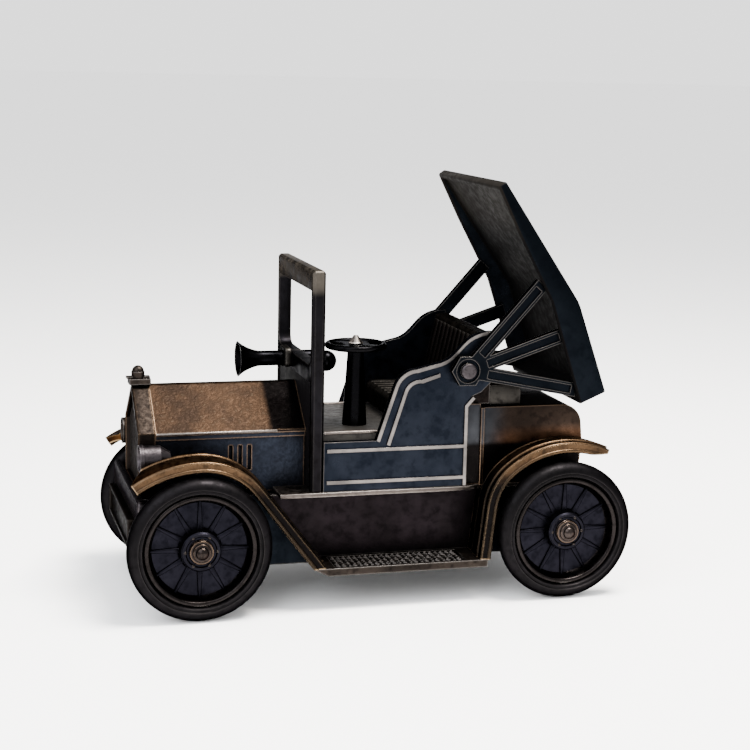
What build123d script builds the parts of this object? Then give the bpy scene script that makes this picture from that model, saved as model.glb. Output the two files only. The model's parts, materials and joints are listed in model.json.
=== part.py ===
"""Diecast collector car: an antique open runabout with a hinged roof, in millimetres.

Front at -X, rear at +X, left side at -Y, +Z up.  The origin is on the ground, midway
between the axles.  Left-hand pieces are built first and mirrored about the XZ plane.
"""
from build123d import *
from math import cos, radians, sin
import os

os.makedirs("parts", exist_ok=True)

# ---------------------------------------------------------------- driving dimensions
wheelbase = 59.5
wheel_radius = 11.25
axle_radius = 1.0
running_clearance = 0.05  # radial gap between a shaft and the hole it turns in

tyre_inner_y = 15.6
tyre_outer_y = 19.2
rim_outer_radius = 8.8
rim_inner_radius = 7.65
hub_radius = 3.1
hub_cap_tip_y = 20.4
spoke_count = 12

chassis_half_width = 9.5
chassis_bottom = 5.7
chassis_top = 17.4
chassis_front = -37.9
chassis_rear = 34.6
casting_wall = 1.2

apron_thickness = 0.8
board_top = 6.9
board_outer_y = 17.3
fender_thickness = 0.9

sill_half_width = 13.2
sill_top = 18.1
hood_half_width = 8.0
hood_eave = 27.5
hood_ridge = 34.3
lower_half_width = 7.4
hood_front = -35.2
radiator_front = -37.9
radiator_half_width = 8.1

post_front = -11.5
post_rear = -9.4
dash_thickness = 1.0
dash_front = post_front + 0.2
dash_rear = dash_front + dash_thickness
panel_inner_y = 11.6
panel_outer_y = 12.8
windshield_top = 53.2
cab_floor_top = 27.4
seat_rear = 18.4
deck_front = 16.6
deck_rear = 34.4
deck_top = 30.8
deck_half_width = 12.2

pivot_x = 13.5
pivot_z = 37.2
bracket_inner_y = 13.4
bracket_outer_y = 14.6
roof_half_width = 15.6
roof_sheet = 0.9
rivet_radius = 0.8

steering_x = -2.6
steering_y = -5.5
horn_y = 3.8
horn_z = 36.9

axle_x = wheelbase / 2
axle_z = wheel_radius
on_top = (Align.CENTER, Align.CENTER, Align.MIN)


def both_sides(left_part, name):
    """Write the left-hand piece and its mirror image on the right."""
    right_part = mirror(left_part, about=Plane.XZ)
    for side, part in (("left", left_part), ("right", right_part)):
        part.label = f"{name}_{side}"
        export_step(part, f"parts/{name}_{side}.step")


def left_plane(y):
    """A plane facing the left side at the given distance from the middle."""
    return Plane.XZ.offset(y)


# ---------------------------------------------------------------- axles and wheels
def turned(points, axle_position):
    """Revolve (distance from the middle, radius) points about a left-hand axle end."""
    section = Plane(origin=(axle_position, 0, axle_z), x_dir=(0, -1, 0), z_dir=(-1, 0, 0))
    with BuildPart() as body:
        with BuildSketch(section):
            with BuildLine():
                Polyline(*points, close=True)
            make_face()
        revolve(axis=Axis((axle_position, 0, axle_z), (0, 1, 0)))
    return body.part


tyre_shoulder = 1.6
wheel_back_y = 15.2
web_back_y = 15.9
web_face_y = 17.0
spoke_height = 0.6
rim_face_y = 18.8
hub_face_y = 18.9
axle_end_y = 18.4
wheel_boss_radius = 2.2

for place, axle_position in (("front", -axle_x), ("rear", axle_x)):
    with BuildPart() as axle:
        with BuildSketch(left_plane(-axle_end_y)):
            with Locations((axle_position, axle_z)):
                Circle(axle_radius)
        extrude(amount=2 * axle_end_y)
    axle.part.label = f"{place}_axle"
    export_step(axle.part, f"parts/{place}_axle.step")

    with BuildPart() as tyre:
        with BuildSketch(left_plane(tyre_inner_y)):
            with Locations((axle_position, axle_z)):
                Circle(wheel_radius)
                Circle(rim_outer_radius, mode=Mode.SUBTRACT)
        extrude(amount=tyre_outer_y - tyre_inner_y)
        fillet(tyre.edges().filter_by(GeomType.CIRCLE).group_by(SortBy.RADIUS)[-1], tyre_shoulder)
    both_sides(tyre.part, f"tyre_{place}")

    with BuildPart() as wheel:
        add(turned([(wheel_back_y, axle_radius), (wheel_back_y, wheel_boss_radius),
                    (web_back_y, wheel_boss_radius), (web_back_y, rim_outer_radius),
                    (rim_face_y - 0.3, rim_outer_radius), (rim_face_y, rim_outer_radius - 0.35),
                    (rim_face_y - 0.15, rim_inner_radius + 0.2), (rim_face_y - 0.6, rim_inner_radius),
                    (web_face_y, rim_inner_radius), (web_face_y, hub_radius),
                    (hub_face_y, hub_radius), (hub_face_y, 0), (axle_end_y, 0),
                    (axle_end_y, axle_radius)], axle_position))
        with BuildSketch(left_plane(web_face_y)):
            with Locations((axle_position, axle_z)):
                with PolarLocations(0, spoke_count):
                    with Locations(((hub_radius + rim_inner_radius) / 2, 0)):
                        Trapezoid(0.9, rim_inner_radius - hub_radius + 0.4, 93.0, rotation=-90)
        extrude(amount=spoke_height)
    both_sides(wheel.part, f"wheel_{place}")

    hub_cap = turned([(hub_face_y, 0), (hub_face_y, 1.85), (19.2, 1.85), (19.25, 1.5), (19.6, 1.45),
                      (19.65, 1.1), (19.95, 1.05), (20.2, 0.75), (hub_cap_tip_y, 0.35),
                      (hub_cap_tip_y, 0)], axle_position)
    both_sides(hub_cap, f"hub_cap_{place}")

# ---------------------------------------------------------------- chassis and base plate
bearing_radius = 2.1
bearing_end_y = 15.0
screw_places = [(-22.0, 0.0), (-4.0, 0.0), (14.0, 0.0)]
screw_radius = 0.8
screw_length = 5.0
screw_head_radius = 1.5
screw_head_height = 0.7
screw_boss_radius = 1.8

with BuildPart() as chassis_frame:
    with BuildSketch(Plane.XY.offset(chassis_bottom)):
        with Locations(((chassis_front + chassis_rear) / 2, 0)):
            RectangleRounded(chassis_rear - chassis_front, 2 * chassis_half_width, 1.5)
    extrude(amount=chassis_top - chassis_bottom)
    offset(amount=-casting_wall, openings=chassis_frame.faces().sort_by(Axis.Z)[0])
    with BuildSketch(left_plane(-bearing_end_y)):
        with Locations((-axle_x, axle_z), (axle_x, axle_z)):
            Circle(bearing_radius)
    extrude(amount=2 * bearing_end_y)
    with BuildSketch(Plane.XY.offset(chassis_bottom + casting_wall)):
        with Locations(*screw_places):
            Circle(screw_boss_radius)
    extrude(amount=chassis_top - chassis_bottom - 2 * casting_wall)
    with BuildSketch(Plane.XY.offset(chassis_bottom + casting_wall)):
        with Locations(*screw_places):
            Circle(screw_radius)
    extrude(amount=screw_length, mode=Mode.SUBTRACT)
    with BuildSketch(left_plane(-bearing_end_y)):
        with Locations((-axle_x, axle_z), (axle_x, axle_z)):
            Circle(axle_radius + running_clearance)
    extrude(amount=2 * bearing_end_y, mode=Mode.SUBTRACT)
chassis_frame.part.label = "chassis_frame"
export_step(chassis_frame.part, "parts/chassis_frame.step")

plate_gap = 0.1
with BuildPart() as base_plate:
    with BuildSketch(Plane.XY.offset(chassis_bottom)):
        with Locations(((chassis_front + chassis_rear) / 2, 0)):
            Rectangle(chassis_rear - chassis_front - 2 * (casting_wall + plate_gap + 0.4),
                      2 * (chassis_half_width - casting_wall - plate_gap))
    extrude(amount=casting_wall)
    fillet(base_plate.edges().filter_by(Axis.Z), 0.6)
    with Locations(*[(x, y, chassis_bottom) for x, y in screw_places]):
        Cylinder(screw_radius, casting_wall, align=on_top, mode=Mode.SUBTRACT)
        Cylinder(screw_head_radius, screw_head_height, align=on_top, mode=Mode.SUBTRACT)
base_plate.part.label = "base_plate"
export_step(base_plate.part, "parts/base_plate.step")

with BuildPart() as base_screws:
    with Locations(*[(x, y, chassis_bottom) for x, y in screw_places]):
        Cylinder(screw_head_radius, screw_head_height, align=on_top)
        Cylinder(screw_radius, screw_length, align=on_top)
        Box(1.5 * screw_head_radius, 0.45, 0.4, align=on_top, mode=Mode.SUBTRACT)
base_screws.part.label = "base_screws"
export_step(base_screws.part, "parts/base_screws.step")

# ---------------------------------------------------------------- fenders
rib_radius = 0.35
lip_height = 1.5
lip_thickness = 0.7
corner_rib = (board_outer_y - rib_radius, -0.1)
lip_roll = (board_outer_y - 0.1, -lip_height + rib_radius)


def fender_section(path, outward, inner, crown, ribs):
    """Return a ribbed fender section with a deep lip, across the start of its path.

    The path runs along the outer top corner.  Inner edge, crown and ribs are (distance from the
    middle, height above the path) points, and outward is 1 or -1, whichever turns the crown out.
    """
    plane = Plane(origin=path @ 0, x_dir=(0, -1, 0), z_dir=(path % 0) * outward)
    lip_inside = (board_outer_y - lip_thickness, -fender_thickness)
    crown_inside = (crown[0], crown[1] - fender_thickness)
    inner_inside = (inner[0], inner[1] - fender_thickness)
    with BuildSketch(plane) as section:
        with BuildLine():
            top = ThreePointArc(inner, crown, (board_outer_y, 0))
            Polyline(top @ 1, (board_outer_y, -lip_height), (lip_inside[0], -lip_height), lip_inside)
            ThreePointArc(lip_inside, crown_inside, inner_inside)
            Line(inner_inside, inner)
        make_face()
        with Locations(*ribs, corner_rib, lip_roll):
            Circle(rib_radius)
    return section.sketch


front_crest = (-29.3, 24.65)
front_slope = 52.3
front_bend = 11.5
front_tip = (-40.0, 21.4)
fender_inner_y = lower_half_width + 0.05
leg_run = cos(radians(front_slope)) / sin(radians(front_slope))  # forward travel for each unit of rise
bend_x = front_crest[0] + front_bend * sin(radians(front_slope))
bend_z = front_crest[1] - front_bend * (1 - cos(radians(front_slope)))


def front_leg_x(height):
    """Place along the car of the front fender's leg at a height."""
    return bend_x + (bend_z - height) * leg_run


with BuildPart() as front_fender:
    with BuildLine(Plane.XZ) as front_path:
        slope = Line((front_leg_x(chassis_bottom), chassis_bottom), (bend_x, bend_z))
        crest = TangentArc(slope @ 1, front_crest, tangent=slope % 1)
        TangentArc(front_crest, front_tip, tangent=crest % 1)
    sweep(fender_section(front_path.line, 1, (fender_inner_y, -0.9), (12.9, 0.35), [(12.9, 0.25)]),
          path=front_path.line)
    with BuildSketch(Plane.XY.offset(board_top)):
        with BuildLine():
            Polyline((-45, 0), (-36.6, 0), (-36.6, -radiator_half_width), (-37.6, -12.0), (-40.2, -17.0),
                     (-40.2, -20), (-45, -20), close=True)
        make_face()
    extrude(amount=25, mode=Mode.SUBTRACT)
    with Locations((front_leg_x(board_top), 0, board_top)):
        Box(20, 60, 20, align=(Align.CENTER, Align.CENTER, Align.MAX), mode=Mode.SUBTRACT)
    with Locations((chassis_front, 0, 0)):
        Box(40, 2 * chassis_half_width, chassis_top, align=(Align.MIN, Align.CENTER, Align.MIN),
            mode=Mode.SUBTRACT)
        Box(hood_front - chassis_front, 2 * radiator_half_width + 0.1, hood_eave,
            align=(Align.MIN, Align.CENTER, Align.MIN), mode=Mode.SUBTRACT)
both_sides(front_fender.part, "front_fender")

rear_inner_y = deck_half_width + 0.05
rear_leg_low = (15.85, board_top)
rear_leg_high = (16.8, 15.56)
rear_knee = (20.0, 21.6)
rear_crest = (30.2, 25.36)
rear_tip = (37.1, 23.9)
rear_tip_bottom = 23.4

with BuildPart() as rear_fender:
    with BuildLine(Plane.XZ) as rear_path:
        leg = Line(rear_leg_low, rear_leg_high)
        knee = TangentArc(leg @ 1, rear_knee, tangent=leg % 1)
        arch = TangentArc(knee @ 1, rear_crest, tangent=knee % 1)
        TangentArc(arch @ 1, rear_tip, tangent=arch % 1)
    sweep(fender_section(rear_path.line, -1, (rear_inner_y, 0), (15.0, 0.3), [(12.6, -0.1), (15.7, 0.15)]),
          path=rear_path.line)
    with Locations((rear_crest[0], 0, rear_tip_bottom)):
        Box(20, 60, 10, align=(Align.MIN, Align.CENTER, Align.MAX), mode=Mode.SUBTRACT)
    with Locations((rear_leg_low[0], 0, board_top)):
        Box(20, 60, 10, align=(Align.CENTER, Align.CENTER, Align.MAX), mode=Mode.SUBTRACT)
    with BuildSketch(left_plane(chassis_half_width + apron_thickness)):
        with BuildLine():
            outside = Line(rear_leg_low, rear_leg_high)
            bend = TangentArc(outside @ 1, rear_knee, tangent=outside % 1)
            Polyline(bend @ 1, (rear_knee[0] + 0.8, rear_knee[1] - 0.7),
                     (rear_leg_high[0] + 1.0, rear_leg_high[1] - 0.2), (rear_leg_low[0] + 1.0, board_top),
                     rear_leg_low)
        make_face()
    extrude(amount=rear_inner_y - chassis_half_width - apron_thickness + 0.5)
    with BuildSketch(left_plane(0)):
        with Locations((15, chassis_top)):
            Rectangle(10, 10, align=(Align.MIN, Align.MIN))
    extrude(amount=rear_inner_y - 0.05, mode=Mode.SUBTRACT)
both_sides(rear_fender.part, "rear_fender")

# ---------------------------------------------------------------- running boards and aprons
board_front_top = front_leg_x(board_top) - 1.9
board_front_bottom = -9.4
board_rear = 16.9
cleat_count = 12

with BuildPart() as running_board:
    with BuildSketch(left_plane(chassis_half_width)):
        with BuildLine():
            Polyline((board_front_top, board_top), (board_front_bottom, chassis_bottom),
                     (board_rear, chassis_bottom), (board_rear, board_top), close=True)
        make_face()
    extrude(amount=board_outer_y - chassis_half_width)
    tread_width = board_outer_y - chassis_half_width - apron_thickness - 1.2
    tread_middle = -(board_outer_y + chassis_half_width + apron_thickness) / 2
    with BuildSketch(Plane.XY.offset(board_top - 0.35)):
        with Locations((2.6, tread_middle)):
            Rectangle(21.6, tread_width)
    extrude(amount=0.5, mode=Mode.SUBTRACT)
    with BuildSketch(Plane.XY.offset(board_top - 0.35)):
        with Locations((2.6, tread_middle)):
            with GridLocations(21.0 / cleat_count, 1, cleat_count, 1):
                Rectangle(0.7, tread_width - 1.4, rotation=35)
    extrude(amount=0.3)
both_sides(running_board.part, "running_board")

with BuildPart() as splash_apron:
    with BuildSketch(left_plane(chassis_half_width)):
        with BuildLine():
            Polyline((front_leg_x(chassis_top) - 0.6, chassis_top), (front_leg_x(board_top) - 0.6, board_top),
                     (rear_leg_low[0] + 0.45, board_top), (rear_leg_high[0] + 0.45, rear_leg_high[1]),
                     (rear_leg_high[0] + 0.8, chassis_top), close=True)
        make_face()
    extrude(amount=apron_thickness)
    add(front_fender.part, mode=Mode.SUBTRACT)
    add(rear_fender.part, mode=Mode.SUBTRACT)
both_sides(splash_apron.part, "splash_apron")

# ---------------------------------------------------------------- floor pan
with BuildPart() as floor_pan:
    with BuildSketch(Plane.XY.offset(chassis_top)):
        with BuildLine():
            Polyline((-16.4, -sill_half_width), (14.6, -sill_half_width), (16.4, -deck_half_width),
                     (33.6, -deck_half_width), (33.6, deck_half_width), (16.4, deck_half_width),
                     (14.6, sill_half_width), (-16.4, sill_half_width), close=True)
        make_face()
    extrude(amount=sill_top - chassis_top)
    with Locations((dash_front, 0, chassis_top)):
        Box(10, 2 * lower_half_width, 2, align=(Align.MAX, Align.CENTER, Align.CENTER), mode=Mode.SUBTRACT)
    add(front_fender.part, mode=Mode.SUBTRACT)
    add(mirror(front_fender.part, about=Plane.XZ), mode=Mode.SUBTRACT)
    add(rear_fender.part, mode=Mode.SUBTRACT)
    add(mirror(rear_fender.part, about=Plane.XZ), mode=Mode.SUBTRACT)
floor_pan.part.label = "floor_pan"
export_step(floor_pan.part, "parts/floor_pan.step")

# ---------------------------------------------------------------- hood and radiator
hood_wall = 0.8
hood_base = chassis_top
core_outline = [(-7.2, 18.4), (-7.2, 27.1), (0, 33.1), (7.2, 27.1), (7.2, 18.4)]
core_depth = 1.6
core_thickness = 0.9


def hood_outline(half_width, ridge, eave, base):
    """Draw the peaked hood outline on the current line builder, base left open."""
    Polyline((-lower_half_width, base), (-lower_half_width, eave - 1.2), (-half_width, eave - 1.2),
             (-half_width, eave - 0.45), (-half_width - 0.3, eave - 0.45), (-half_width - 0.3, eave),
             (0, ridge), (half_width + 0.3, eave), (half_width + 0.3, eave - 0.45),
             (half_width, eave - 0.45), (half_width, eave - 1.2), (lower_half_width, eave - 1.2),
             (lower_half_width, base), close=True)


with BuildPart() as hood:
    with BuildSketch(Plane.YZ.offset(hood_front)):
        with BuildLine():
            hood_outline(hood_half_width, hood_ridge, hood_eave, hood_base)
        make_face()
    extrude(amount=dash_front - hood_front)
    fillet(hood.edges().filter_by(Axis.X).sort_by(Axis.Z)[-1], 1.2)
    with BuildSketch(Plane.YZ.offset(hood_front + hood_wall)):
        with BuildLine():
            Polyline((-lower_half_width + hood_wall, hood_base), (-lower_half_width + hood_wall, hood_eave - 1.0),
                     (0, hood_ridge - 1.6), (lower_half_width - hood_wall, hood_eave - 1.0),
                     (lower_half_width - hood_wall, hood_base), close=True)
        make_face()
    extrude(amount=dash_front - hood_front - 2 * hood_wall, mode=Mode.SUBTRACT)
    for side in (-1, 1):
        with Locations(*[(x, side * lower_half_width, 23.0) for x in (-23.2, -21.7, -20.2)]):
            Box(0.6, 0.9, 4.0, mode=Mode.SUBTRACT)
hood.part.label = "hood"
export_step(hood.part, "parts/hood.step")

with BuildPart() as radiator_shell:
    with BuildSketch(Plane.YZ.offset(radiator_front)):
        with BuildLine():
            Polyline((-radiator_half_width, hood_base), (-radiator_half_width, hood_eave), (0, hood_ridge),
                     (radiator_half_width, hood_eave), (radiator_half_width, hood_base), close=True)
        make_face()
    extrude(amount=hood_front - radiator_front)
    fillet(radiator_shell.edges().filter_by(Axis.X).sort_by(Axis.Z)[-1], 1.2)
    fillet(radiator_shell.faces().sort_by(Axis.X)[0].edges().sort_by(Axis.Z)[1:], 0.3)
    with BuildSketch(Plane.YZ.offset(radiator_front)):
        with BuildLine():
            Polyline(*core_outline, close=True)
        make_face()
    extrude(amount=core_depth, mode=Mode.SUBTRACT)
radiator_shell.part.label = "radiator_shell"
export_step(radiator_shell.part, "parts/radiator_shell.step")

with BuildPart() as radiator_core:
    core_plane = Plane.YZ.offset(radiator_front + core_depth - core_thickness)
    with BuildSketch(core_plane):
        with BuildLine():
            Polyline(*core_outline, close=True)
        make_face()
    extrude(amount=core_thickness)
    with BuildSketch(core_plane):
        with Locations((0, 25.8)):
            with GridLocations(0.9, 1, 15, 1):
                Rectangle(0.35, 14.0)
    extrude(amount=0.3, mode=Mode.SUBTRACT)
radiator_core.part.label = "radiator_core"
export_step(radiator_core.part, "parts/radiator_core.step")

cap_x = -36.6
with BuildPart() as radiator_cap:
    with Locations((cap_x, 0, hood_ridge - 0.3)):
        Box(3.4, 2.6, 0.9, align=on_top)
    with Locations((cap_x - 0.2, 0, hood_ridge + 0.6)):
        Box(3.7, 1.4, 0.3, align=on_top)
        Cylinder(1.05, 1.1, align=on_top)
    with Locations((cap_x - 0.2, 0, hood_ridge + 1.7)):
        Sphere(0.95)
    add(hood.part, mode=Mode.SUBTRACT)
    add(radiator_shell.part, mode=Mode.SUBTRACT)
radiator_cap.part.label = "radiator_cap"
export_step(radiator_cap.part, "parts/radiator_cap.step")

# ---------------------------------------------------------------- headlights
lamp_y = 10.5
lamp_z = 24.2
lamp_front = -38.1
lamp_radius = 2.0

with BuildPart() as headlight:
    with BuildSketch(Plane(origin=(0, -lamp_y, lamp_z), x_dir=(1, 0, 0), z_dir=(0, -1, 0))):
        with BuildLine():
            Polyline((lamp_front, 0), (lamp_front + 0.7, 0), (lamp_front + 0.7, lamp_radius - 0.5),
                     (lamp_front, lamp_radius - 0.2), (lamp_front, lamp_radius + 0.15),
                     (lamp_front + 0.6, lamp_radius + 0.15), (lamp_front + 0.6, lamp_radius),
                     (lamp_front + 3.2, lamp_radius), (lamp_front + 4.8, 1.0), (lamp_front + 4.8, 0))
            Line((lamp_front + 4.8, 0), (lamp_front, 0))
        make_face()
    revolve(axis=Axis((0, -lamp_y, lamp_z), (1, 0, 0)))
    add(front_fender.part, mode=Mode.SUBTRACT)
both_sides(headlight.part.solids().sort_by(SortBy.VOLUME)[-1], "headlight")

# ---------------------------------------------------------------- front apron and blank plate
nose_half_width = 15.0
with BuildPart() as front_apron:
    with BuildSketch(Plane.YZ.offset(chassis_front - 1.0)):
        with Locations((0, 14.2)):
            Rectangle(2 * nose_half_width, 8.4)
    extrude(amount=1.0)
    fillet(front_apron.edges().filter_by(Axis.X), 1.0)
    chamfer(front_apron.faces().sort_by(Axis.X)[0].edges(), 0.25)
front_apron.part.label = "front_apron"
export_step(front_apron.part, "parts/front_apron.step")

plate_half_width = 12.0
with BuildPart() as number_plate:
    with BuildSketch(Plane.YZ.offset(chassis_front - 2.2)):
        with Locations((0, 12.6)):
            RectangleRounded(2 * plate_half_width, 4.8, 0.6)
    extrude(amount=1.2)
    with BuildSketch(Plane.YZ.offset(chassis_front - 2.2)):
        with Locations((0, 12.6)):
            Rectangle(2 * plate_half_width - 1.2, 3.6)
    extrude(amount=0.3, mode=Mode.SUBTRACT)
number_plate.part.label = "number_plate"
export_step(number_plate.part, "parts/number_plate.step")

# ---------------------------------------------------------------- dash board and windshield
crossbar_bottom = 35.5
crossbar_top = 38.2
header_bottom = 50.0

with BuildPart() as dash_board:
    with Locations((dash_front, 0, sill_top)):
        Box(dash_thickness, 2 * panel_inner_y, crossbar_bottom - sill_top,
            align=(Align.MIN, Align.CENTER, Align.MIN))
dash_board.part.label = "dash_board"
export_step(dash_board.part, "parts/dash_board.step")

with BuildPart() as windshield_frame:
    with BuildSketch(Plane.YZ.offset(post_front)):
        with Locations((0, sill_top)):
            Rectangle(2 * panel_outer_y, windshield_top - sill_top, align=(Align.CENTER, Align.MIN))
        with Locations((0, (crossbar_top + header_bottom) / 2)):
            Rectangle(2 * panel_inner_y, header_bottom - crossbar_top, mode=Mode.SUBTRACT)
        with Locations((0, sill_top)):
            Rectangle(2 * panel_inner_y, crossbar_bottom - sill_top, align=(Align.CENTER, Align.MIN),
                      mode=Mode.SUBTRACT)
    extrude(amount=post_rear - post_front)
    sash = windshield_frame.edges().filter_by(Axis.X).filter_by_position(Axis.Z, crossbar_top - 0.1,
                                                                         crossbar_top + 0.1)
    fillet(sash, 1.8)
    fillet(windshield_frame.edges().filter_by(Axis.X).group_by(Axis.Z)[-1], 0.5)
    chamfer(windshield_frame.faces().sort_by(Axis.Z)[-1].edges().filter_by(Axis.Y), 0.4)
    with Locations(Location((post_front, horn_y, horn_z), (0, 90, 0))):
        Cylinder(1.25, 10, mode=Mode.SUBTRACT)
windshield_frame.part.label = "windshield_frame"
export_step(windshield_frame.part, "parts/windshield_frame.step")

# ---------------------------------------------------------------- side panels
bead_height = 0.25
bead_width = 0.55
door_top = 26.1
bead_upper = 24.7
bead_lower = 19.6
panel_rear = 14.3
panel_tip_x = 17.6
panel_tip_z = 43.2
second_bead_inset = 1.7


def rising_edge(inset):
    """Draw the lower, rising part of the swept edge, moved inwards by an inset."""
    low = (-0.9 + inset, door_top - inset * 0.4)
    rise = Line(low, (2.0 + inset * 0.9, 34.8 - inset * 0.5))
    shoulder = TangentArc(rise @ 1, (5.4 + inset * 0.5, 37.4 - inset), tangent=rise % 1)
    arm = Line(shoulder @ 1, (9.4, 38.35 - inset))
    return low, arm @ 1


def sweep_edge(inset):
    """Draw the whole swept top of the side panel and return its two ends."""
    low, arm_end = rising_edge(inset)
    crest = Spline(arm_end, (13.6 + inset * 0.4, 41.7 - inset * 0.8), (panel_tip_x, panel_tip_z - inset),
                   tangents=((1, 0.25), (1, 0.05)))
    return low, crest @ 1


with BuildPart() as side_panel:
    with BuildSketch(left_plane(panel_inner_y)):
        with BuildLine():
            low_end, high_end = sweep_edge(0)
            Polyline(high_end, (18.0, panel_tip_z), (18.0, 35.0), (16.4, 33.4), (14.9, 32.8),
                     (panel_rear, 31.4), (panel_rear, sill_top), (post_rear, sill_top),
                     (post_rear, door_top), low_end)
        make_face()
    extrude(amount=panel_outer_y - panel_inner_y)
    with BuildSketch(left_plane(panel_outer_y)):
        with BuildLine():
            roll_low, roll_high = sweep_edge(0)
            inner_low, inner_high = sweep_edge(bead_width)
            Line(roll_low, inner_low)
            Line(roll_high, inner_high)
        make_face()
        with BuildLine():
            bead_low, bead_arm = rising_edge(second_bead_inset)
            lower_low, lower_arm = rising_edge(second_bead_inset + bead_width)
            Line(bead_low, lower_low)
            Line(bead_arm, lower_arm)
        make_face()
        for bead_z in (bead_upper, bead_lower):
            with BuildLine():
                Line((post_rear + 0.5, bead_z), (panel_rear - 0.3, bead_z))
            trace(line_width=bead_width)
        with BuildLine():
            Polyline((panel_rear - 0.35, sill_top + 0.1), (panel_rear - 0.35, 31.2), (15.2, 32.6))
        trace(line_width=bead_width)
    extrude(amount=bead_height)
both_sides(side_panel.part, "side_panel")

with BuildPart() as pivot_rivet:
    with BuildSketch(left_plane(panel_outer_y)):
        with Locations((pivot_x, pivot_z)):
            Circle(rivet_radius)
    extrude(amount=bracket_outer_y + 0.1 - panel_outer_y)
    with BuildSketch(left_plane(bracket_outer_y + 0.1)):
        with Locations((pivot_x, pivot_z)):
            Circle(1.3)
    extrude(amount=0.6)
    fillet(pivot_rivet.faces().sort_by(Axis.Y)[0].edges(), 0.4)
both_sides(pivot_rivet.part, "pivot_rivet")

# ---------------------------------------------------------------- cab, seat and rear deck
cab_rear = 16.2

with BuildPart() as cab_tub:
    with BuildSketch(Plane.XY.offset(sill_top)):
        with Locations(((dash_rear + cab_rear) / 2, 0)):
            Rectangle(cab_rear - dash_rear, 2 * panel_inner_y)
    extrude(amount=cab_floor_top - sill_top)
    offset(amount=-1.0, openings=cab_tub.faces().sort_by(Axis.Z)[0])
cab_tub.part.label = "cab_tub"
export_step(cab_tub.part, "parts/cab_tub.step")

cushion_front = 3.5
cushion_rear = 13.8
cushion_top = 32.0
seat_half_width = 11.3
with BuildPart() as seat_cushion:
    with BuildSketch(left_plane(-seat_half_width + 0.4)):
        with BuildLine():
            Polyline((cushion_front + 0.8, cab_floor_top), (cushion_front, cushion_top - 0.6),
                     (cushion_rear, cushion_top - 0.8), (cushion_rear - 0.4, cab_floor_top), close=True)
        make_face()
    extrude(amount=2 * (seat_half_width - 0.4))
    fillet(seat_cushion.edges().filter_by(Axis.Y).group_by(Axis.Z)[-1], 0.9)
seat_cushion.part.label = "seat_cushion"
export_step(seat_cushion.part, "parts/seat_cushion.step")

with BuildPart() as seat_back:
    with BuildSketch(left_plane(-seat_half_width)):
        with BuildLine():
            Polyline((14.0, cab_floor_top), (13.9, 32.0), (16.2, 42.6), (seat_rear, 42.9),
                     (seat_rear, 31.2), (16.3, 31.2), (16.3, cab_floor_top), close=True)
        make_face()
    extrude(amount=2 * seat_half_width)
    fillet(seat_back.edges().filter_by(Axis.Y).group_by(Axis.Z)[-2:], 0.5)
seat_back.part.label = "seat_back"
export_step(seat_back.part, "parts/seat_back.step")

with BuildPart() as rear_deck:
    with BuildSketch(left_plane(-deck_half_width)):
        with BuildLine():
            Polyline((deck_front, sill_top), (deck_front, deck_top), (deck_rear - 0.6, deck_top),
                     (deck_rear, 24.5), (deck_rear - 0.6, sill_top), close=True)
        make_face()
    extrude(amount=2 * deck_half_width)
    fillet(rear_deck.edges().filter_by(Axis.Y).sort_by(Axis.Z)[-2:].sort_by(Axis.X)[-1], 3.4)
    offset(amount=-1.0, openings=rear_deck.faces().sort_by(Axis.Z)[0])
    with BuildSketch(left_plane(deck_half_width)):
        with Locations((deck_front + 0.3, (sill_top + deck_top) / 2)):
            Rectangle(0.6, deck_top - sill_top)
    extrude(amount=0.5)
    with BuildSketch(left_plane(-deck_half_width)):
        with Locations((deck_front + 0.3, (sill_top + deck_top) / 2)):
            Rectangle(0.6, deck_top - sill_top)
    extrude(amount=-0.5)
    for side in (-1, 1):
        with Locations((panel_rear + 0.05, side * (deck_half_width - 0.3), sill_top)):
            Box(deck_front - panel_rear, 0.5, deck_top - sill_top + 0.6,
                align=(Align.MIN, Align.CENTER, Align.MIN))
rear_deck.part.label = "rear_deck"
export_step(rear_deck.part, "parts/rear_deck.step")

with BuildPart() as luggage_box:
    with Locations((seat_rear, 0, deck_top)):
        Box(5.4, 2 * seat_half_width, 3.4, align=(Align.MIN, Align.CENTER, Align.MIN))
    fillet(luggage_box.edges().filter_by(Axis.Y).group_by(Axis.Z)[-1].sort_by(Axis.X)[-1], 1.2)
luggage_box.part.label = "luggage_box"
export_step(luggage_box.part, "parts/luggage_box.step")

# ---------------------------------------------------------------- steering
column_top = 39.6
pin_radius = 0.6
pin_top = 41.0
with BuildPart() as steering_column:
    with Locations((steering_x, steering_y, cab_floor_top)):
        Cone(2.0, 1.3, column_top - cab_floor_top, align=on_top)
        Cylinder(pin_radius, pin_top - cab_floor_top, align=on_top)
steering_column.part.label = "steering_column"
export_step(steering_column.part, "parts/steering_column.step")

wheel_plane_z = 40.3
steering_ring = 4.5
with BuildPart() as steering_wheel:
    with BuildSketch(Plane(origin=(steering_x, steering_y, wheel_plane_z), x_dir=(1, 0, 0), z_dir=(0, -1, 0))):
        with Locations((steering_ring, 0)):
            Circle(0.5)
    revolve(axis=Axis((steering_x, steering_y, wheel_plane_z), (0, 0, 1)))
    with BuildSketch(Plane.XY.offset(wheel_plane_z - 0.3)):
        with Locations((steering_x, steering_y)):
            with PolarLocations(steering_ring / 2, 4, start_angle=45):
                Rectangle(steering_ring, 1.2)
            Circle(2.1)
    extrude(amount=0.6)
    with Locations((steering_x, steering_y, wheel_plane_z)):
        Cylinder(pin_radius + running_clearance, 4, mode=Mode.SUBTRACT)
steering_wheel.part.label = "steering_wheel"
export_step(steering_wheel.part, "parts/steering_wheel.step")

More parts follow.
